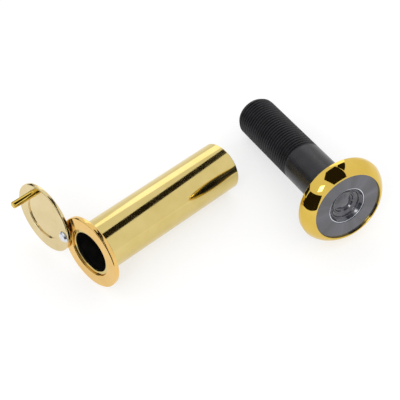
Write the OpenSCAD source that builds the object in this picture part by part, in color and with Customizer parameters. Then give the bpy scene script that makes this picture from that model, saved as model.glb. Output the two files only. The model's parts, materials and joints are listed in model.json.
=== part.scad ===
// Door viewer in two screw-together halves, laid side by side on a flat surface.
// The inner half is a brass sleeve with a flange and a swivel cover over its sight hole.
// The outer half is a black threaded barrel with a gold bezel and a stack of lenses.
// Lengths are in millimetres. +Z is up and z = 0 is the surface that both halves lie on.

/* [Sleeve tube] */
// Outside diameter of the sleeve tube, which passes through the door
sleeve_d = 14; // [11.6:0.1:16.8]
// Wall of the sleeve tube behind its thread
sleeve_wall = 0.75; // [0.6:0.05:1]
// Length of the inner half, from the flange's front face to the open end
sleeve_length = 48.3; // [40:0.1:70]
// Length of the inner half that has no thread inside, from the flange's front face
sleeve_plain_length = 10.3; // [4:0.1:20]
// Step from the tube's outside down to the end that passes through the flange
spigot_step = 0.4; // [0.3:0.05:0.6]
// Height of the rolled end above the flange's ledge
roll_h = 0.4; // [0.2:0.05:0.7]
// Chamfer at the open end
mouth_chamfer = 0.3; // [0.1:0.05:0.5]

/* [Thread between the halves] */
// Pitch of the thread
thread_pitch = 1; // [0.75:0.05:1.25]
// Step that stops the barrel at the sight hole
barrel_stop = 0.1; // [0.05:0.05:0.5]

/* [Inner flange] */
// Thickness of the flange
flange_t = 1.4; // [1.1:0.1:2.4]
// Width of the flange outside the rivet's tail
flange_margin = 0.55; // [0.3:0.05:2.5]
// Width of the ledge that the rolled end lies on
ledge_width = 0.35; // [0.25:0.05:0.45]
// Thickness of that ledge
ledge_t = 0.4; // [0.25:0.05:0.5]
// Depth of the seat for the tube's shoulder in the flange's back
shoulder_seat = 0.15; // [0.1:0.05:0.3]
// Rounding of the flange's rim
flange_edge = 0.3; // [0.1:0.05:0.5]

/* [Swivel cover] */
// Thickness of the cover
cover_t = 1.1; // [0.9:0.1:2]
// Width of the cover outside the rivet's head
cover_margin = 0.1; // [0.05:0.05:2]
// Width of the cover between the rivet's head and the shallow recess
recess_land = 0.7; // [0.2:0.1:3]
// Depth of the recess in the cover's outer face
recess_depth = 0.35; // [0.1:0.05:0.5]
// Rounding of the cover's rim
cover_edge = 0.3; // [0.1:0.05:0.4]
// Opening angle of the cover, 0 over the sight hole and 180 fully aside
cover_open = 180; // [0:5:180]

/* [Pull pin] */
// Diameter of the pin that a finger moves the cover by
pull_pin_d = 1.9; // [1.4:0.1:2.4]
// Length of the pin that stands out of the cover
pull_pin_length = 6.6; // [4:0.1:9]
// Chamfer at the pin's tip
pull_pin_chamfer = 0.2; // [0.1:0.05:0.4]
// Width of the cover between its recess and the pin
pull_pin_land = 0.45; // [0.2:0.05:1]
// Angle of the pin round the cover, from the line through rivet and centre
pull_pin_angle = 59; // [-90:1:90]

/* [Pivot] */
// Wall of the flange between the tube's seat and the rivet's tail
tail_wall = 0.16; // [0.1:0.02:0.6]
// Angle of the rivet round the flange, from the flange's lowest point
pivot_angle = 93; // [85:1:95]
// Diameter of the rivet's shank
rivet_d = 1.8; // [1.4:0.1:2.1]
// Diameter of the rivet's domed head
rivet_head_d = 3.2; // [2.6:0.1:4]
// Height of the domed head
rivet_head_h = 0.8; // [0.5:0.1:1.2]
// Diameter of the rivet's tail, sunk flush into the flange's back
rivet_tail_d = 2.6; // [2.2:0.1:3.2]
// Thickness of the sunk tail
rivet_tail_h = 0.5; // [0.3:0.1:0.6]
// Diameter of the washer between cover and flange
washer_d = 3.6; // [3:0.1:3.7]
// Thickness of the washer
washer_t = 0.3; // [0.2:0.05:0.6]

/* [Outer barrel] */
// Length of the barrel behind the bezel
barrel_length = 44.4; // [36:0.1:66]
// Length of the thread on the barrel
barrel_thread_length = 26; // [12:1:32]
// Wall of the barrel under its thread
barrel_wall = 0.4; // [0.3:0.05:1]
// Plain length at the barrel's end, before the first ridge
barrel_lead = 0.6; // [0.3:0.1:0.9]
// Thickness of the head that carries the bezel
head_t = 0.6; // [0.5:0.1:0.8]
// Depth of the head inside the bezel's back
head_setback = 0.1; // [0.05:0.05:0.3]

/* [Bezel] */
// Diameter of the bezel
bezel_d = 25.4; // [21:0.1:32]
// Height of the bezel from its back to its lip
bezel_h = 4.5; // [3.7:0.1:7]
// Thickness of the bezel's outer rim
bezel_rim_t = 1.2; // [0.8:0.1:1.8]
// Width of the bezel's sloping face
bezel_face_w = 2.35; // [1.5:0.05:3]
// Bulge of the sloping face
bezel_bulge = 0.35; // [0.1:0.05:0.6]
// Rounding of the bezel's back edge
bezel_edge = 0.2; // [0.1:0.05:0.3]
// Width of the lip's flat top
lip_w = 0.35; // [0.2:0.05:0.6]
// Chamfer inside the lip
lip_chamfer = 0.1; // [0.05:0.05:0.2]

/* [Lenses] */
// Height of the lip above the glass
glass_setback = 0.55; // [0.3:0.05:0.8]
// Width of the ledge that holds the objective lens in the bezel
glass_ledge = 0.3; // [0.2:0.05:0.5]
// Diameter of the hollow in the objective lens
well_d = 11; // [8:0.1:13.2]
// Thickness of the objective lens at its centre
objective_centre_t = 0.7; // [0.4:0.05:1]
// Thickness of the seal under the objective lens
seal_t = 0.3; // [0.2:0.05:0.4]
// Width of the seal
seal_w = 2; // [1:0.1:3]
// Thickness of the second lens at its rim
second_lens_rim = 1; // [0.5:0.1:2]
// Thickness of the third lens at its rim
third_lens_rim = 1.4; // [0.5:0.1:2.5]
// Thickness of the eyepiece lens at its rim
eyepiece_lens_rim = 0.8; // [0.5:0.1:2]
// Radius of the lenses' curved faces
lens_curve = 16; // [12:0.5:30]

/* [Spacers] */
// Length of the front spacer
front_spacer_length = 5; // [3:0.1:7]
// Length of the middle spacer
middle_spacer_length = 6; // [3:0.1:8]
// Wall of the spacers
spacer_wall = 0.7; // [0.4:0.05:1]
// Thickness of the eyepiece retainer
retainer_t = 2.4; // [1.6:0.1:3]
// Wall of the eyepiece retainer round its hole
retainer_wall = 1.75; // [1:0.05:2.5]
// Depth of the retainer inside the barrel's end
retainer_setback = 1.2; // [0.4:0.1:3]
// Width of the spanner slot across the retainer
slot_w = 1.2; // [0.8:0.1:1.6]
// Depth of the spanner slot
slot_depth = 0.9; // [0.5:0.1:1.2]

/* [Fits] */
// Radial gap of pieces that are pressed or rolled together
press_gap = 0.02; // [0.01:0.01:0.05]
// Radial gap of lenses and spacers in the barrel
slip_gap = 0.05; // [0.03:0.01:0.1]
// Radial running gap of the cover on its rivet
pivot_gap = 0.05; // [0.02:0.01:0.09]
// Gap between faces that rest on each other
face_gap = 0.03; // [0.01:0.01:0.05]
// Radial gap round the rolled end in its counterbore
roll_gap = 0.12; // [0.02:0.01:0.2]
// Radial gap round the barrel behind the sleeve's thread
relief_gap = 0.25; // [0.1:0.05:0.4]

/* [Layout] */
// Distance of the bezel's back beyond the sleeve's open end, along the sleeve
outer_ahead = 10.2; // [10:0.1:40]
// Distance of the bezel's back from the sleeve's axis, across the sleeve
outer_aside = 34.2; // [34:0.1:60]
// Direction that the bezel faces, as an angle about the vertical
outer_yaw = -105.7; // [-120:0.1:-80]

/* [Hidden] */
$fn = 96;
// Overrun of cutting bodies past the face that they cut
cut = 1;
// Steps in each rounded corner and in the bezel's face
arc_steps = 6;
face_steps = 10;
// Segments in the circles that the lenses' curved faces are cut from
curve_segments = 360;

// Metric thread form, as shares of the pitch
outside_ridge_share = 0.6134;
inside_ridge_share = 0.5413;
crest_share = 1 / 8;
root_share = 1 / 4;

// Thread: the barrel's ridges and root, and the bore that stands for the sleeve's thread
sleeve_r = sleeve_d / 2;
relief_r = sleeve_r - sleeve_wall;
crest_r = relief_r - relief_gap;
ridge_h = outside_ridge_share * thread_pitch;
root_r = crest_r - ridge_h;
sleeve_bore_r = crest_r - inside_ridge_share * thread_pitch;
crest_w = crest_share * thread_pitch;
root_w = root_share * thread_pitch;
flank_w = (thread_pitch - crest_w - root_w) / 2;
ridge_count = floor(barrel_thread_length / thread_pitch);

// Pivot, flange and cover, each set outside the piece that it has to clear
spigot_r = sleeve_r - spigot_step;
sight_hole_r = crest_r - barrel_stop;
counterbore_r = spigot_r + ledge_width;
tail_r = rivet_tail_d / 2;
pivot_radius = sleeve_r + tail_wall + tail_r + 2 * press_gap;
flange_r = pivot_radius + tail_r + flange_margin;
cover_r = pivot_radius + rivet_head_d / 2 + cover_margin;
recess_r = pivot_radius - rivet_head_d / 2 - recess_land;
pull_pin_radius = recess_r + pull_pin_land + pull_pin_d / 2;

// Inner half, measured from the flange's front face towards the open end
ledge_top = flange_t - shoulder_seat - ledge_t;
roll_top = ledge_top - roll_h;
roll_r = counterbore_r - roll_gap;
shoulder_z = flange_t - shoulder_seat + face_gap;
cover_back = washer_t + 2 * face_gap;
cover_front = cover_back + cover_t;
pull_pin_seat = cover_t - recess_depth;
tail_seat = flange_t - rivet_tail_h - face_gap;

// The inner half rests on the back of the flange's rim and on the end of the tube
inner_tilt = atan((flange_r - sleeve_r)
    / (sleeve_length - mouth_chamfer - flange_t + flange_edge));
inner_z = flange_r * cos(inner_tilt) + (flange_t - flange_edge) * sin(inner_tilt);

// Outer half, measured from the bezel's back towards its lip
bezel_r = bezel_d / 2;
lip_r = bezel_r - bezel_face_w - lip_w;
cavity_r = lip_r + glass_ledge;
glass_top = bezel_h - glass_setback;
glass_ledge_z = glass_top + face_gap;
head_top = head_setback + head_t;
seal_back = head_top + face_gap;
glass_back = seal_back + seal_t + face_gap;
objective_t = glass_top - glass_back;
objective_r = cavity_r - slip_gap;
bore_r = root_r - barrel_wall;
stack_r = bore_r - slip_gap;
retainer_hole_r = stack_r - retainer_wall;
well_r = well_d / 2;
well_depth = objective_t - objective_centre_t;
well_curve = (well_r * well_r + well_depth * well_depth) / (2 * well_depth);

// Thickness of each lens at its centre: its rim and the depth of both curved faces
lens_sag = lens_curve - sqrt(lens_curve * lens_curve - stack_r * stack_r);
second_lens_t = second_lens_rim + 2 * lens_sag;
third_lens_t = third_lens_rim + 2 * lens_sag;
eyepiece_lens_t = eyepiece_lens_rim + 2 * lens_sag;

// Places of the lens stack, from the objective lens towards the eyepiece
front_spacer_top = glass_back - face_gap;
second_lens_top = front_spacer_top - front_spacer_length - face_gap;
middle_spacer_top = second_lens_top - second_lens_t - face_gap;
third_lens_top = middle_spacer_top - middle_spacer_length - face_gap;
rear_spacer_top = third_lens_top - third_lens_t - face_gap;
retainer_back = retainer_setback - barrel_length;
eyepiece_back = retainer_back + retainer_t + face_gap;
rear_spacer_back = eyepiece_back + eyepiece_lens_t + face_gap;

// The outer half rests on the back of the bezel's rim and on the barrel's last ridge
thread_start = barrel_lead - barrel_length;
last_ridge = thread_start + root_w + flank_w;
outer_tilt = atan((bezel_r - crest_r) / (bezel_edge - last_ridge));
outer_z = bezel_r * cos(outer_tilt) - bezel_edge * sin(outer_tilt);
outer_x = sleeve_length + outer_ahead;
outer_y = -outer_aside;

// Directions of both halves: along the sleeve to its open end, and out of the bezel
inner_dir = [cos(inner_tilt), 0, -sin(inner_tilt)];
inner_down = [-sin(inner_tilt), 0, -cos(inner_tilt)];
outer_dir = [
    cos(outer_tilt) * cos(outer_yaw), cos(outer_tilt) * sin(outer_yaw), sin(outer_tilt)
];

// Round edges that bound the object, each as [centre, direction, radius]
cover_angle = pivot_angle + 180 - cover_open;
cover_x = pivot_radius * (cos(pivot_angle) + cos(cover_angle));
cover_y = pivot_radius * (sin(pivot_angle) + sin(cover_angle));
pin_x = cover_x + pull_pin_radius * cos(cover_angle + pull_pin_angle);
pin_y = cover_y + pull_pin_radius * sin(cover_angle + pull_pin_angle);
BOUNDS = [
    [inner_point(0, 0, flange_edge), inner_dir, flange_r],
    [inner_point(0, 0, flange_t - flange_edge), inner_dir, flange_r],
    [inner_point(0, 0, sleeve_length), inner_dir, sleeve_r - mouth_chamfer],
    [inner_point(cover_x, cover_y, -cover_back), inner_dir, cover_r - cover_edge],
    [inner_point(cover_x, cover_y, -cover_front + cover_edge), inner_dir, cover_r],
    [inner_point(pin_x, pin_y, -cover_front - pull_pin_length), inner_dir, pull_pin_d / 2],
    [outer_point(bezel_edge), outer_dir, bezel_r],
    [outer_point(bezel_rim_t), outer_dir, bezel_r],
    [outer_point(bezel_h), outer_dir, lip_r + lip_w],
    [outer_point(last_ridge), outer_dir, crest_r],
    [outer_point(-barrel_length), outer_dir, root_r]
];
middle_x = (low(0) + high(0)) / 2;
middle_y = (low(1) + high(1)) / 2;

function inner_point(x, y, z) = [0, y, inner_z] + x * inner_down + z * inner_dir;
function outer_point(z) = [outer_x, outer_y, outer_z] + z * outer_dir;
function reach(edge, i) = edge[2] * sqrt(1 - edge[1][i] * edge[1][i]);
function low(i) = min([for (edge = BOUNDS) edge[0][i] - reach(edge, i)]);
function high(i) = max([for (edge = BOUNDS) edge[0][i] + reach(edge, i)]);

// Points of a round corner of radius r about [x, y], from one angle to another
function corner(x, y, r, from, to) = [
    for (i = [0:arc_steps])
        let (a = from + (to - from) * i / arc_steps) [x + r * cos(a), y + r * sin(a)]
];

// Outline of one thread ridge whose lower root starts at z
function ridge(z) = [
    [root_r, z],
    [root_r, z + root_w],
    [crest_r, z + root_w + flank_w],
    [crest_r, z + root_w + flank_w + crest_w]
];

// Puts a piece of the inner half in place, with its local z towards the open end
module in_sleeve() {
    translate([-middle_x, -middle_y, inner_z])
        rotate([0, 90 + inner_tilt, 0])
            children();
}

// Puts a piece of the outer half in place, with its local z out of the bezel
module in_barrel() {
    translate([outer_x - middle_x, outer_y - middle_y, outer_z])
        rotate([0, 90 - outer_tilt, outer_yaw])
            children();
}

// Puts a piece on the rivet's axis, on the front side of the flange
module on_rivet() {
    in_sleeve()
        rotate([0, 0, pivot_angle])
            translate([pivot_radius, 0, 0])
                children();
}

// Puts a piece on the cover, with x from the rivet through the cover's centre
module on_cover() {
    on_rivet()
        rotate([0, 0, 180 - cover_open])
            translate([0, 0, -cover_front])
                children();
}

// Plain ring from z = bottom to z = top
module ring(outer, inner, bottom, top) {
    translate([0, 0, bottom])
        difference() {
            cylinder(r = outer, h = top - bottom);
            translate([0, 0, -cut])
                cylinder(r = inner, h = top - bottom + 2 * cut);
        }
}

// Round disc with rounded rims, from z = 0 to z = t
module rounded_disc(r, t, edge) {
    rotate_extrude()
        polygon(concat(
            [[0, 0]],
            corner(r - edge, edge, edge, -90, 0),
            corner(r - edge, t - edge, edge, 0, 90),
            [[0, t]]
        ));
}

// Lens with two curved faces, t thick at its centre, with its top at z
module convex_lens(t, top) {
    translate([0, 0, top - t])
        rotate_extrude()
            intersection() {
                square([stack_r, t]);
                translate([0, lens_curve])
                    circle(r = lens_curve, $fn = curve_segments);
                translate([0, t - lens_curve])
                    circle(r = lens_curve, $fn = curve_segments);
            }
}

module sleeve_tube() {
    roll_edge = roll_h / 2;
    color([0.84, 0.75, 0.42])
        in_sleeve()
            rotate_extrude()
                polygon(concat(
                    [[sight_hole_r, shoulder_z]],
                    corner(sight_hole_r + roll_edge, roll_top + roll_edge, roll_edge, 180, 270),
                    corner(roll_r - roll_edge, roll_top + roll_edge, roll_edge, 270, 360),
                    [
                        [roll_r, ledge_top - face_gap],
                        [spigot_r, ledge_top - face_gap],
                        [spigot_r, shoulder_z],
                        [sleeve_r, shoulder_z],
                        [sleeve_r, sleeve_length - mouth_chamfer],
                        [sleeve_r - mouth_chamfer, sleeve_length],
                        [sleeve_bore_r, sleeve_length],
                        [sleeve_bore_r, sleeve_plain_length],
                        [relief_r, sleeve_plain_length - (relief_r - sleeve_bore_r)],
                        [relief_r, shoulder_z + relief_r - sight_hole_r]
                    ]
                ));
}

module inner_flange() {
    color([0.94, 0.74, 0.40])
        in_sleeve()
            difference() {
                rounded_disc(flange_r, flange_t, flange_edge);
                translate([0, 0, -cut])
                    cylinder(r = counterbore_r, h = ledge_top + cut);
                translate([0, 0, -cut])
                    cylinder(r = spigot_r + press_gap, h = flange_t + 2 * cut);
                translate([0, 0, flange_t - shoulder_seat])
                    cylinder(r = sleeve_r + press_gap, h = shoulder_seat + cut);
                rotate([0, 0, pivot_angle])
                    translate([pivot_radius, 0, 0]) {
                        translate([0, 0, -cut])
                            cylinder(r = rivet_d / 2 + press_gap, h = flange_t + 2 * cut);
                        translate([0, 0, tail_seat])
                            cylinder(r = tail_r + press_gap, h = rivet_tail_h + cut);
                    }
            }
}

module pivot_washer() {
    color([0.85, 0.60, 0.25])
        on_rivet()
            ring(washer_d / 2, rivet_d / 2 + pivot_gap, -washer_t - face_gap, -face_gap);
}

module pivot_rivet() {
    head_base = -cover_front - face_gap;
    head_curve = (rivet_head_d * rivet_head_d / 4 + rivet_head_h * rivet_head_h)
        / (2 * rivet_head_h);
    color([0.90, 0.90, 0.92])
        on_rivet() {
            translate([0, 0, head_base])
                cylinder(d = rivet_d, h = flange_t - face_gap - head_base);
            rotate_extrude()
                intersection() {
                    translate([0, head_base - rivet_head_h])
                        square([rivet_head_d / 2, rivet_head_h]);
                    translate([0, head_base - rivet_head_h + head_curve])
                        circle(r = head_curve);
                }
            translate([0, 0, tail_seat + face_gap])
                cylinder(r = tail_r, h = rivet_tail_h - face_gap);
        }
}

module swivel_cover() {
    color([0.93, 0.84, 0.64])
        on_cover()
            difference() {
                translate([pivot_radius, 0, 0])
                    rounded_disc(cover_r, cover_t, cover_edge);
                translate([pivot_radius, 0, -cut])
                    cylinder(r = recess_r, h = recess_depth + cut);
                translate([0, 0, -cut])
                    cylinder(r = rivet_d / 2 + pivot_gap, h = cover_t + 2 * cut);
                on_pin()
                    translate([0, 0, -cut])
                        cylinder(r = pull_pin_d / 2 + press_gap, h = pull_pin_seat + cut);
            }
}

// Puts a piece on the pull pin's axis, with z = 0 at the cover's outer face
module on_pin() {
    translate([pivot_radius, 0, 0])
        rotate([0, 0, pull_pin_angle])
            translate([pull_pin_radius, 0, 0])
                children();
}

module cover_pull_pin() {
    pin_r = pull_pin_d / 2;
    foot = pull_pin_seat - face_gap;
    shoulder = pull_pin_chamfer - pull_pin_length;
    color([0.88, 0.72, 0.32])
        on_cover()
            on_pin() {
                translate([0, 0, shoulder])
                    cylinder(r = pin_r, h = foot - shoulder);
                translate([0, 0, -pull_pin_length])
                    cylinder(r1 = pin_r - pull_pin_chamfer, r2 = pin_r, h = pull_pin_chamfer);
            }
}

module outer_barrel() {
    thread_end = thread_start + ridge_count * thread_pitch;
    color([0.13, 0.13, 0.15])
        in_barrel()
            rotate_extrude()
                polygon(concat(
                    [[bore_r, -barrel_length], [root_r, -barrel_length]],
                    [for (i = [0:ridge_count - 1]) each ridge(thread_start + i * thread_pitch)],
                    [
                        [root_r, thread_end],
                        [root_r, thread_end + root_w],
                        [crest_r, thread_end + root_w + ridge_h],
                        [crest_r, head_setback],
                        [cavity_r - press_gap, head_setback],
                        [cavity_r - press_gap, head_top],
                        [bore_r, head_top]
                    ]
                ));
}

module bezel_ring() {
    foot = [bezel_r, bezel_rim_t];
    top = [lip_r + lip_w, bezel_h];
    slope = top - foot;
    outward = [slope[1], -slope[0]] / norm(slope);
    color([0.90, 0.72, 0.28])
        in_barrel()
            rotate_extrude()
                polygon(concat(
                    [[cavity_r, 0]],
                    corner(bezel_r - bezel_edge, bezel_edge, bezel_edge, -90, 0),
                    [
                        for (i = [0:face_steps])
                            let (u = i / face_steps)
                                foot + u * slope + 4 * u * (1 - u) * bezel_bulge * outward
                    ],
                    [
                        [lip_r, bezel_h - lip_chamfer],
                        [lip_r, glass_ledge_z],
                        [cavity_r, glass_ledge_z]
                    ]
                ));
}

module lens_seal() {
    color([0.06, 0.06, 0.06])
        in_barrel()
            ring(objective_r, objective_r - seal_w, seal_back, seal_back + seal_t);
}

module objective_lens() {
    color([0.34, 0.34, 0.38])
        in_barrel()
            rotate_extrude()
                difference() {
                    translate([0, glass_back])
                        square([objective_r, objective_t]);
                    translate([0, glass_top - well_depth + well_curve])
                        circle(r = well_curve, $fn = curve_segments);
                }
}

// Tube between two lenses, with its upper end at top
module spacer(top, length) {
    ring(stack_r, stack_r - spacer_wall, top - length, top);
}

module front_spacer() {
    color([0.75, 0.68, 0.50])
        in_barrel()
            spacer(front_spacer_top, front_spacer_length);
}

module second_lens() {
    color([0.70, 0.80, 0.85])
        in_barrel()
            convex_lens(second_lens_t, second_lens_top);
}

module middle_spacer() {
    color([0.20, 0.20, 0.20])
        in_barrel()
            spacer(middle_spacer_top, middle_spacer_length);
}

module third_lens() {
    color([0.70, 0.80, 0.85])
        in_barrel()
            convex_lens(third_lens_t, third_lens_top);
}

module rear_spacer() {
    color([0.20, 0.20, 0.20])
        in_barrel()
            spacer(rear_spacer_top, rear_spacer_top - rear_spacer_back);
}

module eyepiece_lens() {
    color([0.70, 0.80, 0.85])
        in_barrel()
            convex_lens(eyepiece_lens_t, eyepiece_back + eyepiece_lens_t);
}

module eyepiece_retainer() {
    color([0.10, 0.10, 0.10])
        in_barrel()
            difference() {
                ring(stack_r, retainer_hole_r, retainer_back, retainer_back + retainer_t);
                translate([0, 0, retainer_back])
                    cube([2 * bore_r, slot_w, 2 * slot_depth], center = true);
            }
}

sleeve_tube();
inner_flange();
pivot_washer();
pivot_rivet();
swivel_cover();
cover_pull_pin();
outer_barrel();
bezel_ring();
lens_seal();
objective_lens();
front_spacer();
second_lens();
middle_spacer();
third_lens();
rear_spacer();
eyepiece_lens();
eyepiece_retainer();
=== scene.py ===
"""Looks of a door viewer: a brass sleeve with a swivel cover, and a black barrel with a gold bezel."""
import json
import math

import bmesh
import bpy
from mathutils import Matrix, Vector


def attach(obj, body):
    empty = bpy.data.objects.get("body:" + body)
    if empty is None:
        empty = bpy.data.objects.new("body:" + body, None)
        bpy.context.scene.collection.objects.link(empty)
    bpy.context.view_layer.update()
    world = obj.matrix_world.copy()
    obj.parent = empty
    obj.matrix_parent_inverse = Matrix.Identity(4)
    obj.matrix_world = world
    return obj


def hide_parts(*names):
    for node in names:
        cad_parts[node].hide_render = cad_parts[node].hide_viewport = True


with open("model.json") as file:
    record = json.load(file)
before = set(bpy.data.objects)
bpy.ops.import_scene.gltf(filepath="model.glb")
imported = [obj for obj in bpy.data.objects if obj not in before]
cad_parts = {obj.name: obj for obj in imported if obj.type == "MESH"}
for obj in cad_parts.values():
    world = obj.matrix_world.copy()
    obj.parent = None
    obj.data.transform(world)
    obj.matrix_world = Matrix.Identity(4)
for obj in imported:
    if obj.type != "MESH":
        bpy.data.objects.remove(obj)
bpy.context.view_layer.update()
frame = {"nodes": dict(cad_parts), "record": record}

MM = 0.001
RING_STEPS = 192
CORNER_STEPS = 5
RECORD = frame["record"]
MOUNTS = {mount["name"]: mount for mount in RECORD["mounts"]}
JOINTS = {joint["name"]: joint for joint in RECORD["behaviour"]["joints"]}

# Sizes of the inner half, in millimetres, from the flange's front face to the open end
SLEEVE_R = MOUNTS["sleeve_outside"]["dims"]["r_mm"]
SLEEVE_LENGTH = 48.3
SLEEVE_BORE_R = MOUNTS["sleeve_thread"]["dims"]["r_mm"]
SLEEVE_THREAD_LENGTH = MOUNTS["sleeve_thread"]["dims"]["length_mm"]
SIGHT_HOLE_R = 5.9
SPIGOT_R = 6.6
RELIEF_R = 6.25
ROLL_R = 6.83
ROLL_TOP = 0.45
LEDGE_TOP = 0.85
MOUTH_CHAMFER = 0.3
FLANGE_R = 10.35
FLANGE_T = 1.4
SHOULDER_SEAT = 0.15
COUNTERBORE_R = 6.95
FACE_GAP = 0.03

# Sizes of the cover and its pivot, from the cover's outer face towards the flange
COVER_R = 10.2
COVER_T = 1.1
RECESS_R = 6.2
RECESS_DEPTH = 0.35
PIVOT_RADIUS = 8.5
PIN_RADIUS = 7.6
PIN_ANGLE = 59
PIN_R = 0.95
PIN_LENGTH = 6.6
RIVET_R = 0.9
RIVET_HEAD_R = 1.6
RIVET_HEAD_H = 0.8
RIVET_TAIL_R = 1.3
RIVET_TAIL_H = 0.5
WASHER_R = 1.8
WASHER_T = 0.3

# Sizes of the outer half, from the bezel's back towards its lip
BARREL_R = 6.0
BARREL_BORE_R = 4.9866
BARREL_LENGTH = 44.4
BARREL_THREAD_LENGTH = 26.6
BARREL_CHAMFER = 1.16
HEAD_R = 10.28
HEAD_BACK = 0.1
HEAD_TOP = 0.7
BEZEL_R = 12.7
BEZEL_H = 4.5
BEZEL_RIM_T = 1.2
BEZEL_BULGE = 0.35
LIP_R = 10.0
LIP_W = 0.35
CAVITY_R = 10.3
GLASS_TOP = 3.95
GLASS_BACK = 1.06
GLASS_R = 10.25
WELL_R = 5.5
WELL_DEPTH = 2.19
RIM_TOP_DEPTH = 0.18
RIM_BOTTOM_DEPTH = 0.50
PITCH = 1.0
RIDGE_H = 0.6134 * PITCH
INSIDE_RIDGE_H = 0.5413 * PITCH

# Height of the dark flags above the object, in millimetres
FLAG_Z = 250

# Camera, as a photographer would give it
LOOK_AT = (0.00522, 0.00672, 0.0)
CAMERA_DISTANCE = 0.33627
CAMERA_AZIMUTH = -43.19
CAMERA_ELEVATION = 48.65
CAMERA_ROLL = -1.39
CAMERA_LENS = 108.0


# Frames of the pieces

def axes_matrix(origin, z_axis, x_hint):
    """Matrix that puts a piece at origin, with its z along z_axis and its x near x_hint."""
    z = Vector(z_axis).normalized()
    x = Vector(x_hint) - Vector(x_hint).dot(z) * z
    x.normalize()
    y = z.cross(x)
    matrix = Matrix((x, y, z)).transposed().to_4x4()
    matrix.translation = Vector(origin)
    return matrix


sleeve_dir = Vector(MOUNTS["sleeve_outside"]["axis"]).normalized()
sleeve_middle = Vector(MOUNTS["sleeve_outside"]["pos_m"])
outside_length = MOUNTS["sleeve_outside"]["dims"]["length_mm"]
flange_front = sleeve_middle + sleeve_dir * MM * (
    outside_length / 2 + MOUTH_CHAMFER - SLEEVE_LENGTH
)
rivet_front = Vector(JOINTS["cover_swing"]["pos_m"])
rivet_offset = rivet_front - flange_front
rivet_side = (rivet_offset - rivet_offset.dot(sleeve_dir) * sleeve_dir).normalized()
SLEEVE_FRAME = axes_matrix(flange_front, sleeve_dir, rivet_side)
COVER_FRAME = axes_matrix(
    rivet_front + rivet_side * PIVOT_RADIUS * MM, sleeve_dir, rivet_side
)
RIVET_FRAME = axes_matrix(rivet_front, sleeve_dir, rivet_side)
bezel_back = Vector(JOINTS["outer_half_turn"]["pos_m"])
bezel_dir = -Vector(JOINTS["outer_half_turn"]["axis"])
OUTER_FRAME = axes_matrix(bezel_back, bezel_dir, (0, 0, 1))


# Shapes

def rounded(points):
    """Outline of (r, z, corner radius) points with each corner turned into an arc, in millimetres."""
    outline = []
    count = len(points)
    for i, (r, z, radius) in enumerate(points):
        here = Vector((r, z))
        if radius == 0:
            outline.append(here)
            continue
        before = Vector(points[i - 1][:2]) - here
        after = Vector(points[(i + 1) % count][:2]) - here
        turn = before.angle(after)
        reach = radius / math.tan(turn / 2)
        start = here + before.normalized() * reach
        end = here + after.normalized() * reach
        middle = here + (before.normalized() + after.normalized()).normalized() * (
            radius / math.sin(turn / 2)
        )
        sweep = (start - middle).angle_signed(end - middle)
        for step in range(CORNER_STEPS + 1):
            arm = (start - middle).copy()
            arm.rotate(Matrix.Rotation(-sweep * step / CORNER_STEPS, 2))
            outline.append(middle + arm)
    return outline


def curve_points(start, end, bulge, steps):
    """Points of a shallow curve between two (r, z) points, without its ends."""
    start, end = Vector(start), Vector(end)
    along = end - start
    out = Vector((along.y, -along.x)).normalized()
    points = []
    for i in range(1, steps):
        u = i / steps
        points.append(start + along * u + out * (4 * u * (1 - u) * bulge))
    return points


def finish_mesh(mesh, name, matrix, sharp_angle):
    """Turns a bmesh into a smooth-shaded object at its place, with own_place as its turning frame."""
    bmesh.ops.remove_doubles(mesh, verts=mesh.verts, dist=1e-7)
    bmesh.ops.dissolve_degenerate(mesh, edges=mesh.edges, dist=1e-8)
    bmesh.ops.recalc_face_normals(mesh, faces=mesh.faces)
    data = bpy.data.meshes.new(name)
    mesh.to_mesh(data)
    mesh.free()
    for face in data.polygons:
        face.use_smooth = True
    data.set_sharp_from_angle(angle=math.radians(sharp_angle))
    own_place = data.attributes.new("own_place", "FLOAT_VECTOR", "POINT")
    for vertex, place in zip(data.vertices, own_place.data):
        place.vector = vertex.co
    data.transform(matrix)
    piece = bpy.data.objects.new(name, data)
    bpy.context.scene.collection.objects.link(piece)
    weighted = piece.modifiers.new("weighted", "WEIGHTED_NORMAL")
    weighted.keep_sharp = True
    return piece


def add_columns(mesh, columns, closed):
    """Joins neighbouring columns of points with faces, all the way round."""
    rows = []
    for column in columns:
        rows.append([mesh.verts.new(point) for point in column])
    count = len(rows[0])
    last = count if closed else count - 1
    for i, row in enumerate(rows):
        following = rows[(i + 1) % len(rows)]
        for j in range(last):
            k = (j + 1) % count
            mesh.faces.new((row[j], row[k], following[k], following[j]))


def ring_columns(outline):
    """Columns of points made by turning an outline about the z axis."""
    columns = []
    for i in range(RING_STEPS):
        angle = 2 * math.pi * i / RING_STEPS
        columns.append([
            (r * MM * math.cos(angle), r * MM * math.sin(angle), z * MM) for r, z in outline
        ])
    return columns


def lathe(name, points, matrix, closed=True, sharp_angle=35):
    """Turned piece with rounded corners. A closed outline is a ring, and an open one meets the axis."""
    mesh = bmesh.new()
    add_columns(mesh, ring_columns(rounded(points)), closed)
    return finish_mesh(mesh, name, matrix, sharp_angle)


def thread_depth(phase):
    """Depth of a 60-degree thread at a phase from 0 to 1, as a share of its full height."""
    crest, root = 0.10, 0.22
    flank = (1 - crest - root) / 2
    if phase < crest:
        return 0.0
    if phase < crest + flank:
        return (phase - crest) / flank
    if phase < crest + flank + root:
        return 1.0
    return 1 - (phase - crest - flank - root) / flank


# Phases at which a thread's outline has a point: its corners, and points near them for crisp shading
THREAD_PHASES = (0.0, 0.05, 0.10, 0.16, 0.38, 0.44, 0.50, 0.55, 0.60, 0.66, 0.72, 0.94)


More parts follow.
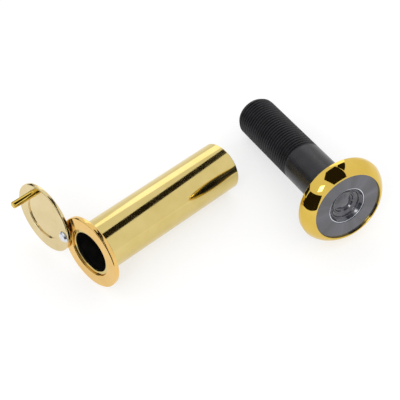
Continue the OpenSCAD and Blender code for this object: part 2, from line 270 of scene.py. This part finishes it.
def helix_columns(low, high, crest_r, root_r, fade_low, fade_high, chamfer=0):
    """Columns of a right-hand thread from z = low to z = high. It fades to the crest radius over
    each fade length, and a chamfer at the low end cuts it down to the root radius."""
    turns = math.ceil((high - low) / PITCH) + 1
    columns = []
    for i in range(RING_STEPS + 1):
        share = i / RING_STEPS
        angle = 2 * math.pi * share
        heights = [low]
        for turn in range(-1, turns):
            for phase in THREAD_PHASES:
                heights.append(min(max(low + (turn + phase + share) * PITCH, low), high))
        heights.append(high)
        column = []
        for z in heights:
            fade = 1.0
            if fade_low:
                fade = min(fade, (z - low) / fade_low)
            if fade_high:
                fade = min(fade, (high - z) / fade_high)
            depth = thread_depth(((z - low) / PITCH - share) % 1) * fade
            if chamfer:
                depth = max(depth, 1 - (z - low) / chamfer)
            column.append((crest_r + (root_r - crest_r) * depth, z))
        columns.append([
            (r * MM * math.cos(angle), r * MM * math.sin(angle), z * MM) for r, z in column
        ])
    return columns


def add_helix(mesh, columns):
    """Joins helix columns, whose last column meets the first one turn further on."""
    rows = []
    for column in columns:
        rows.append([mesh.verts.new(point) for point in column])
    for row, following in zip(rows, rows[1:]):
        for j in range(len(row) - 1):
            corners = (row[j], row[j + 1], following[j + 1], following[j])
            mesh.faces.new(corners)


def ride_and_slot(piece, body, slot, material, *replaced):
    """Gives a piece its finish and its body, and hides the CAD nodes that it stands for."""
    piece.data.materials.append(material)
    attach(piece, body)
    if replaced:
        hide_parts(*replaced)
    return piece


# Materials

def new_material(name):
    """Material with an empty principled shader, and its nodes and links."""
    material = bpy.data.materials.new(name)
    material.use_nodes = True
    tree = material.node_tree
    return material, tree.nodes, tree.links, tree.nodes["Principled BSDF"]


def noise(nodes, links, scale, detail, stretch=(1, 1, 1)):
    """Noise in the piece's own space, stretched along its axes."""
    place = nodes.new("ShaderNodeTexCoord")
    mapping = nodes.new("ShaderNodeMapping")
    mapping.inputs["Scale"].default_value = stretch
    texture = nodes.new("ShaderNodeTexNoise")
    texture.inputs["Scale"].default_value = scale
    texture.inputs["Detail"].default_value = detail
    links.new(place.outputs["Object"], mapping.inputs["Vector"])
    links.new(mapping.outputs["Vector"], texture.inputs["Vector"])
    return texture.outputs["Fac"]


def turned(nodes, links, scale):
    """Noise that changes with distance from the turning axis and along it, but not round it."""
    place = nodes.new("ShaderNodeAttribute")
    place.attribute_name = "own_place"
    parts = nodes.new("ShaderNodeSeparateXYZ")
    flat = nodes.new("ShaderNodeCombineXYZ")
    length = nodes.new("ShaderNodeVectorMath")
    length.operation = "LENGTH"
    joined = nodes.new("ShaderNodeCombineXYZ")
    texture = nodes.new("ShaderNodeTexNoise")
    texture.inputs["Scale"].default_value = scale
    texture.inputs["Detail"].default_value = 3
    links.new(place.outputs["Vector"], parts.inputs[0])
    links.new(parts.outputs["X"], flat.inputs["X"])
    links.new(parts.outputs["Y"], flat.inputs["Y"])
    links.new(flat.outputs[0], length.inputs[0])
    links.new(length.outputs["Value"], joined.inputs["X"])
    links.new(parts.outputs["Z"], joined.inputs["Z"])
    links.new(joined.outputs[0], texture.inputs["Vector"])
    return texture.outputs["Fac"]


def to_range(nodes, links, value, low, high):
    """Maps the middle of a noise onto low to high."""
    spread = nodes.new("ShaderNodeMapRange")
    spread.inputs["From Min"].default_value = 0.3
    spread.inputs["From Max"].default_value = 0.7
    spread.inputs["To Min"].default_value = low
    spread.inputs["To Max"].default_value = high
    links.new(value, spread.inputs["Value"])
    return spread.outputs["Result"]


def blend_colors(nodes, links, value, first, second):
    """Colour that wanders between two near tones with a noise."""
    ramp = nodes.new("ShaderNodeValToRGB")
    ramp.color_ramp.elements[0].position = 0.3
    ramp.color_ramp.elements[0].color = (*first, 1)
    ramp.color_ramp.elements[1].position = 0.7
    ramp.color_ramp.elements[1].color = (*second, 1)
    links.new(value, ramp.inputs["Fac"])
    return ramp.outputs["Color"]


def bump(nodes, links, shader, height, strength, distance):
    """Fine relief from a height."""
    relief = nodes.new("ShaderNodeBump")
    relief.inputs["Strength"].default_value = strength
    relief.inputs["Distance"].default_value = distance
    links.new(height, relief.inputs["Height"])
    links.new(relief.outputs["Normal"], shader.inputs["Normal"])


def metal(name, first, second, rough_low, rough_high, marks=0.0):
    """Plated metal: a slightly uneven tone, a polish that varies, and faint turning marks."""
    material, nodes, links, shader = new_material(name)
    shader.inputs["Metallic"].default_value = 1.0
    cloud = noise(nodes, links, 180, 3)
    color = blend_colors(nodes, links, cloud, first, second)
    links.new(color, shader.inputs["Base Color"])
    smear = noise(nodes, links, 420, 4)
    roughness = to_range(nodes, links, smear, rough_low, rough_high)
    links.new(roughness, shader.inputs["Roughness"])
    if marks:
        bump(nodes, links, shader, turned(nodes, links, 2600), marks, 0.00002)
    return material


def black_oxide():
    """Satin black finish of the barrel, with a faint brush of wear."""
    material, nodes, links, shader = new_material("barrel_black_oxide")
    shader.inputs["Metallic"].default_value = 0.0
    shader.inputs["Specular IOR Level"].default_value = 0.38
    cloud = noise(nodes, links, 300, 5)
    color = blend_colors(nodes, links, cloud, (0.007, 0.007, 0.009), (0.013, 0.013, 0.017))
    links.new(color, shader.inputs["Base Color"])
    smear = noise(nodes, links, 900, 4)
    links.new(to_range(nodes, links, smear, 0.24, 0.36), shader.inputs["Roughness"])
    bump(nodes, links, shader, noise(nodes, links, 6000, 3), 0.12, 0.00002)
    return material


def bore_painted_shade():
    """Painted shade for the sleeve's bore: a near-black colour in place of the dark of the deep tube.
    """
    material, nodes, links, shader = new_material("sleeve_inside_black")
    cloud = noise(nodes, links, 500, 4)
    color = blend_colors(nodes, links, cloud, (0.004, 0.004, 0.004), (0.010, 0.009, 0.008))
    links.new(color, shader.inputs["Base Color"])
    shader.inputs["Specular IOR Level"].default_value = 0.1
    links.new(to_range(nodes, links, cloud, 0.6, 0.8), shader.inputs["Roughness"])
    return material


def spokes(nodes, links, scale):
    """Noise that changes only with the angle round the turning axis."""
    place = nodes.new("ShaderNodeAttribute")
    place.attribute_name = "own_place"
    flat = nodes.new("ShaderNodeVectorMath")
    flat.operation = "MULTIPLY"
    flat.inputs[1].default_value = (1, 1, 0)
    direction = nodes.new("ShaderNodeVectorMath")
    direction.operation = "NORMALIZE"
    texture = nodes.new("ShaderNodeTexNoise")
    texture.inputs["Scale"].default_value = scale
    texture.inputs["Detail"].default_value = 4
    links.new(place.outputs["Vector"], flat.inputs[0])
    links.new(flat.outputs["Vector"], direction.inputs[0])
    links.new(direction.outputs["Vector"], texture.inputs["Vector"])
    return texture.outputs["Fac"]


def dark_glass():
    """Polished front lens over a dark turned inside. Its base colour is partly painted sheen: the
    turned face's reflections, which run in streaks from the centre, are painted in as lighter and
    darker streaks.
    """
    material, nodes, links, shader = new_material("objective_glass_dark")
    # Painted sheen: base colour that changes only with the angle round the axis, as lighter and darker
    # streaks in place of the turned face's reflections
    streaks = spokes(nodes, links, 1.9)
    color = blend_colors(nodes, links, streaks, (0.018, 0.018, 0.025), (0.078, 0.078, 0.098))
    links.new(color, shader.inputs["Base Color"])
    shader.inputs["IOR"].default_value = 1.52
    shader.inputs["Coat Weight"].default_value = 1.0
    shader.inputs["Coat Roughness"].default_value = 0.03
    smear = noise(nodes, links, 260, 3)
    links.new(to_range(nodes, links, smear, 0.08, 0.16), shader.inputs["Roughness"])
    return material


def clear_glass():
    """Small inner lenses."""
    material, nodes, links, shader = new_material("inner_lens_glass")
    shader.inputs["Transmission Weight"].default_value = 0.9
    shader.inputs["IOR"].default_value = 1.52
    cloud = noise(nodes, links, 200, 2)
    color = blend_colors(nodes, links, cloud, (0.80, 0.88, 0.90), (0.86, 0.92, 0.94))
    links.new(color, shader.inputs["Base Color"])
    links.new(to_range(nodes, links, cloud, 0.02, 0.05), shader.inputs["Roughness"])
    return material


def matt_black(name, rough_low, rough_high):
    """Matt rubber or plastic."""
    material, nodes, links, shader = new_material(name)
    cloud = noise(nodes, links, 700, 4)
    color = blend_colors(nodes, links, cloud, (0.012, 0.012, 0.012), (0.024, 0.024, 0.024))
    links.new(color, shader.inputs["Base Color"])
    links.new(to_range(nodes, links, cloud, rough_low, rough_high), shader.inputs["Roughness"])
    bump(nodes, links, shader, noise(nodes, links, 4000, 3), 0.2, 0.00003)
    return material


SLEEVE_GOLD = metal("sleeve_brass_plate", (0.64, 0.505, 0.18), (0.70, 0.555, 0.225), 0.06, 0.12, 0.05)
FLANGE_GOLD = metal("flange_brass_plate", (0.78, 0.50, 0.15), (0.84, 0.55, 0.19), 0.07, 0.13, 0.08)
COVER_GOLD = metal("cover_brass_plate", (0.68, 0.545, 0.27), (0.74, 0.60, 0.33), 0.10, 0.17, 0.10)
BEZEL_GOLD = metal("bezel_brass_gloss", (0.68, 0.47, 0.085), (0.74, 0.52, 0.11), 0.03, 0.06)
NICKEL = metal("rivet_nickel", (0.66, 0.69, 0.76), (0.76, 0.79, 0.86), 0.18, 0.30)
BARREL_BLACK = black_oxide()
# Painted shade for the sleeve's deep bore
BORE_PAINTED_SHADE = bore_painted_shade()
LENS_DARK = dark_glass()
LENS_CLEAR = clear_glass()
RUBBER = matt_black("seal_rubber_black", 0.6, 0.8)
PLASTIC = matt_black("spacer_black_matt", 0.5, 0.7)


# Inner half

def make_sleeve():
    """Tube with a rolled end in the flange, a relief, an inside thread and a chamfered mouth."""
    thread_start = SLEEVE_LENGTH - SLEEVE_THREAD_LENGTH
    back = FLANGE_T - SHOULDER_SEAT + FACE_GAP
    lip = LEDGE_TOP - FACE_GAP
    outline = rounded([
        (SLEEVE_BORE_R, SLEEVE_LENGTH, 0),
        (SLEEVE_R, SLEEVE_LENGTH, MOUTH_CHAMFER),
        (SLEEVE_R, back, 0.05),
        (SPIGOT_R, back, 0),
        (SPIGOT_R, lip, 0),
        (ROLL_R, lip, 0.05),
        (ROLL_R, ROLL_TOP, 0.18),
        (SIGHT_HOLE_R, ROLL_TOP, 0.18),
        (SIGHT_HOLE_R, back, 0),
        (RELIEF_R, back + RELIEF_R - SIGHT_HOLE_R, 0),
        (RELIEF_R, thread_start - RELIEF_R + SLEEVE_BORE_R, 0),
        (SLEEVE_BORE_R, thread_start, 0),
    ])
    mesh = bmesh.new()
    add_columns(mesh, ring_columns(outline), closed=False)
    thread = helix_columns(
        thread_start, SLEEVE_LENGTH, SLEEVE_BORE_R, SLEEVE_BORE_R + INSIDE_RIDGE_H, PITCH, MOUTH_CHAMFER
    )
    add_helix(mesh, thread)
    sleeve = finish_mesh(mesh, "sleeve_tube_shell", SLEEVE_FRAME, 40)
    ride_and_slot(sleeve, "sleeve", "sleeve_brass", SLEEVE_GOLD, "sleeve_tube")
    # The bore takes the painted shade from the ledge to 1.2 mm short of the mouth, where the brass
    # still shows
    sleeve.data.materials.append(BORE_PAINTED_SHADE)
    inside_r = (RELIEF_R + 0.1) * MM
    unshaded_mouth = 1.2
    to_own_place = SLEEVE_FRAME.inverted()
    for face in sleeve.data.polygons:
        middle = to_own_place @ face.center
        in_bore = math.hypot(middle.x, middle.y) < inside_r
        if in_bore and LEDGE_TOP * MM < middle.z < (SLEEVE_LENGTH - unshaded_mouth) * MM:
            face.material_index = 1


def make_flange():
    """Flat ring with a counterbore, a ledge for the tube's rolled end and rounded rims."""
    inner_r = SPIGOT_R + 0.02
    flange = lathe("inner_flange_shell", [
        (inner_r, FLANGE_T - SHOULDER_SEAT, 0),
        (SLEEVE_R + 0.02, FLANGE_T - SHOULDER_SEAT, 0),
        (SLEEVE_R + 0.02, FLANGE_T, 0),
        (FLANGE_R, FLANGE_T, 0.3),
        (FLANGE_R, 0, 0.3),
        (COUNTERBORE_R, 0, 0.08),
        (COUNTERBORE_R, LEDGE_TOP, 0.04),
        (inner_r, LEDGE_TOP, 0),
    ], SLEEVE_FRAME)
    ride_and_slot(flange, "sleeve", "flange_brass", FLANGE_GOLD, "inner_flange")


def make_pivot():
    """Domed rivet through cover and flange, and the washer between them."""
    cover_back = COVER_T + WASHER_T + 2 * FACE_GAP
    tail_top = cover_back + FLANGE_T
    rivet = lathe("pivot_rivet_shell", [
        (0, -RIVET_HEAD_H, 0),
        (0.55, -RIVET_HEAD_H + 0.02, 0.3),
        (1.15, -0.6, 0.3),
        (RIVET_HEAD_R, -0.15, 0.25),
        (RIVET_HEAD_R, -FACE_GAP, 0.04),
        (RIVET_R, -FACE_GAP, 0),
        (RIVET_R, tail_top - RIVET_TAIL_H, 0),
        (RIVET_TAIL_R, tail_top - RIVET_TAIL_H, 0),
        (RIVET_TAIL_R, tail_top - FACE_GAP, 0.05),
        (0, tail_top - FACE_GAP, 0),
    ], RIVET_FRAME, closed=False)
    ride_and_slot(rivet, "sleeve", "rivet_steel", NICKEL, "pivot_rivet")
    washer_front = COVER_T + FACE_GAP
    washer = lathe("pivot_washer_shell", [
        (RIVET_R + 0.05, washer_front, 0.03),
        (WASHER_R, washer_front, 0.08),
        (WASHER_R, washer_front + WASHER_T, 0.08),
        (RIVET_R + 0.05, washer_front + WASHER_T, 0.03),
    ], RIVET_FRAME)
    ride_and_slot(washer, "sleeve", "flange_brass", FLANGE_GOLD, "pivot_washer")


def make_cover():
    """Disc with a shallow recess in its outer face, and the pull pin that stands on it."""
    cover = lathe("swivel_cover_shell", [
        (0, RECESS_DEPTH, 0),
        (RECESS_R, RECESS_DEPTH, 0.1),
        (RECESS_R, 0, 0.08),
        (COVER_R, 0, 0.3),
        (COVER_R, COVER_T, 0.3),
        (0, COVER_T, 0),
    ], COVER_FRAME, closed=False)
    ride_and_slot(cover, "cover", "cover_brass", COVER_GOLD, "swivel_cover")
    turn = Matrix.Rotation(math.radians(PIN_ANGLE), 4, "Z")
    shift = Matrix.Translation((PIN_RADIUS * MM, 0, 0))
    pin = lathe("cover_pull_pin_shell", [
        (0, -PIN_LENGTH, 0),
        (PIN_R, -PIN_LENGTH, 0.22),
        (PIN_R, -0.25, 0.05),
        (PIN_R + 0.12, -0.02, 0),
        (PIN_R, 0.3, 0),
        (0, 0.3, 0),
    ], COVER_FRAME @ turn @ shift, closed=False)
    ride_and_slot(pin, "cover", "bezel_brass", BEZEL_GOLD, "cover_pull_pin")


# Outer half

def make_barrel():
    """Black barrel with a helical thread, a smooth shank and the head under the bezel."""
    thread_end = BARREL_THREAD_LENGTH - BARREL_LENGTH
    root_r = BARREL_R - RIDGE_H
    outline = rounded([
        (BARREL_R, thread_end, 0),
        (BARREL_R, HEAD_BACK, 0),
        (HEAD_R, HEAD_BACK, 0.03),
        (HEAD_R, HEAD_TOP, 0.03),
        (BARREL_BORE_R, HEAD_TOP, 0),
        (BARREL_BORE_R, -BARREL_LENGTH, 0.1),
        (root_r, -BARREL_LENGTH, 0),
    ])
    mesh = bmesh.new()
    add_columns(mesh, ring_columns(outline), closed=False)
    add_helix(mesh, helix_columns(
        -BARREL_LENGTH, thread_end, BARREL_R, root_r, 0, 1.0, BARREL_CHAMFER
    ))
    barrel = finish_mesh(mesh, "outer_barrel_shell", OUTER_FRAME, 50)
    ride_and_slot(barrel, "outer_half", "barrel_black", BARREL_BLACK, "outer_barrel")


def make_bezel():
    """Gold ring with a thin rim, a bulging slope and a narrow lip over the glass."""
    foot = (BEZEL_R, BEZEL_RIM_T)
    top = (LIP_R + LIP_W, BEZEL_H)
    slope = [(point.x, point.y, 0) for point in curve_points(foot, top, BEZEL_BULGE, 16)]
    points = [
        (CAVITY_R, 0, 0.05),
        (BEZEL_R, 0, 0.2),
        (BEZEL_R, BEZEL_RIM_T, 0.08),
        *slope,
        (LIP_R + LIP_W, BEZEL_H, 0.12),
        (LIP_R, BEZEL_H, 0.12),
        (LIP_R, GLASS_TOP + FACE_GAP, 0.03),
        (CAVITY_R, GLASS_TOP + FACE_GAP, 0.03),
    ]
    bezel = lathe("bezel_ring_shell", points, OUTER_FRAME)
    ride_and_slot(bezel, "outer_half", "bezel_brass", BEZEL_GOLD, "bezel_ring")


def make_objective():
    """Front lens: a flat rim of glass round a stepped hollow, with a thin bright ring at its edge."""
    floor = GLASS_TOP - WELL_DEPTH
    lens = lathe("objective_lens_shell", [
        (0, floor + 0.60, 0),
        (1.5, floor + 0.48, 0.6),
        (2.5, floor + 0.05, 0.15),
        (2.75, floor + 0.05, 0.05),
        (3.05, floor + 0.55, 0.10),
        (3.3, floor + 0.55, 0.10),
        (3.5, floor + 0.25, 0.08),
        (4.2, floor + 0.70, 0.3),
        (4.4, floor + 1.20, 0.10),
        (4.65, floor + 1.20, 0.10),
        (4.8, floor + 0.95, 0.08),
        (5.3, floor + 1.70, 0.2),
        (WELL_R, GLASS_TOP, 0.05),
        (GLASS_R, GLASS_TOP, 0.1),
        (GLASS_R, GLASS_BACK, 0),
        (0, GLASS_BACK, 0),
    ], OUTER_FRAME, closed=False)
    ride_and_slot(lens, "outer_half", "objective_glass", LENS_DARK, "objective_lens")
    rim = lathe("well_rim_ring", [
        (5.20, GLASS_TOP - RIM_BOTTOM_DEPTH, 0.05),
        (5.48, GLASS_TOP - RIM_BOTTOM_DEPTH, 0.05),
        (5.48, GLASS_TOP - RIM_TOP_DEPTH, 0.05),
        (5.26, GLASS_TOP - RIM_TOP_DEPTH, 0.05),
    ], OUTER_FRAME)
    ride_and_slot(rim, "outer_half", "rivet_steel", NICKEL)


def dress_nodes():
    """Gives each CAD node that stays its own finish."""
    finishes = {
        "lens_seal": RUBBER,
        "front_spacer": SLEEVE_GOLD,
        "second_lens": LENS_CLEAR,
        "middle_spacer": PLASTIC,
        "third_lens": LENS_CLEAR,
        "rear_spacer": PLASTIC,
        "eyepiece_lens": LENS_CLEAR,
        "eyepiece_retainer": PLASTIC,
    }
    for name, finish in finishes.items():
        node = frame["nodes"][name]
        node.data.materials.clear()
        node.data.materials.append(finish)


# Studio

def make_floor():
    """Plain pale floor."""
    size = 3.0
    mesh = bmesh.new()
    bmesh.ops.create_grid(mesh, x_segments=1, y_segments=1, size=size)
    data = bpy.data.meshes.new("studio_floor")
    mesh.to_mesh(data)
    mesh.free()
    floor = bpy.data.objects.new("studio_floor", data)
    bpy.context.scene.collection.objects.link(floor)
    floor.location.z = -0.0001
    material, _, _, shader = new_material("studio_floor_paper")
    shader.inputs["Base Color"].default_value = (0.40, 0.40, 0.40, 1)
    shader.inputs["Roughness"].default_value = 0.9
    shader.inputs["Specular IOR Level"].default_value = 0.0
    shader.inputs["Emission Color"].default_value = (1, 1, 1, 1)
    shader.inputs["Emission Strength"].default_value = 0.62
    data.materials.append(material)


def make_card(name, corners):
    """Dark card that only shows in reflections, through corners in millimetres."""
    mesh = bmesh.new()
    mesh.faces.new([mesh.verts.new(Vector(corner) * MM) for corner in corners])
    data = bpy.data.meshes.new(name)
    mesh.to_mesh(data)
    mesh.free()
    card = bpy.data.objects.new(name, data)
    bpy.context.scene.collection.objects.link(card)
    material, _, _, shader = new_material(name + "_black")
    shader.inputs["Base Color"].default_value = (0.02, 0.016, 0.012, 1)
    shader.inputs["Specular IOR Level"].default_value = 0.0
    data.materials.append(material)
    card.visible_camera = False
    card.visible_diffuse = False
    card.visible_shadow = False
    card.visible_transmission = False


def make_light(name, position, size, power):
    """Soft square light aimed at the object."""
    data = bpy.data.lights.new(name, "AREA")
    data.shape = "SQUARE"
    data.size = size
    data.energy = power
    light = bpy.data.objects.new(name, data)
    bpy.context.scene.collection.objects.link(light)
    light.location = position
    light.rotation_mode = "QUATERNION"
    light.rotation_quaternion = Vector(position).to_track_quat("Z", "Y")


def make_world():
    """Even pale surroundings."""
    world = bpy.data.worlds.new("studio_world")
    world.use_nodes = True
    background = world.node_tree.nodes["Background"]
    background.inputs["Color"].default_value = (1, 1, 1, 1)
    background.inputs["Strength"].default_value = 1.0
    bpy.context.scene.world = world
    bpy.context.scene.view_settings.view_transform = "Standard"


def make_camera():
    """Camera at the angle of the reference view, looking at a point on the floor."""
    azimuth = math.radians(CAMERA_AZIMUTH)
    elevation = math.radians(CAMERA_ELEVATION)
    back = Vector((
        math.sin(azimuth) * math.cos(elevation),
        -math.cos(azimuth) * math.cos(elevation),
        math.sin(elevation),
    ))
    data = bpy.data.cameras.new("studio_camera")
    data.lens = CAMERA_LENS
    data.sensor_width = 36
    data.clip_start = 0.01
    data.clip_end = 20
    camera = bpy.data.objects.new("studio_camera", data)
    bpy.context.scene.collection.objects.link(camera)
    camera.location = Vector(LOOK_AT) + back * CAMERA_DISTANCE
    turn = (-back).to_track_quat("-Z", "Y")
    roll = Matrix.Rotation(math.radians(CAMERA_ROLL), 4, "Z").to_quaternion()
    camera.rotation_mode = "QUATERNION"
    camera.rotation_quaternion = turn @ roll
    bpy.context.scene.camera = camera


make_camera()
make_sleeve()
make_flange()
make_pivot()
make_cover()
make_barrel()
make_bezel()
make_objective()
dress_nodes()
make_floor()
make_world()

# Dark flags outside the view, for the dark reflections on the gold
make_card("flag_over_sleeve", [
    (215, 135, FLAG_Z), (85, 0, FLAG_Z), (95, -135, FLAG_Z), (195, 12, FLAG_Z)
])
make_card("flag_over_camera", [
    (-95, -350, FLAG_Z), (90, -350, FLAG_Z), (84, 60, FLAG_Z), (-10, 60, FLAG_Z), (-95, -20, FLAG_Z)
])
make_card("flag_beside", [(-60, 10, 0), (-60, -95, 0), (-60, -95, 58), (-60, 10, 58)])
make_card("flag_behind", [(-260, 180, 0), (35, 180, 0), (35, 180, 70), (-260, 180, 70)])
make_card("flag_low", [(-160, -60, 0), (-160, 120, 0), (-160, 120, 40), (-160, -60, 40)])
make_light("rim_light", (0.40, 0.46, 0.30), 0.30, 0.2)
make_light("window_light", (-0.42, -0.20, 0.42), 0.16, 0.5)
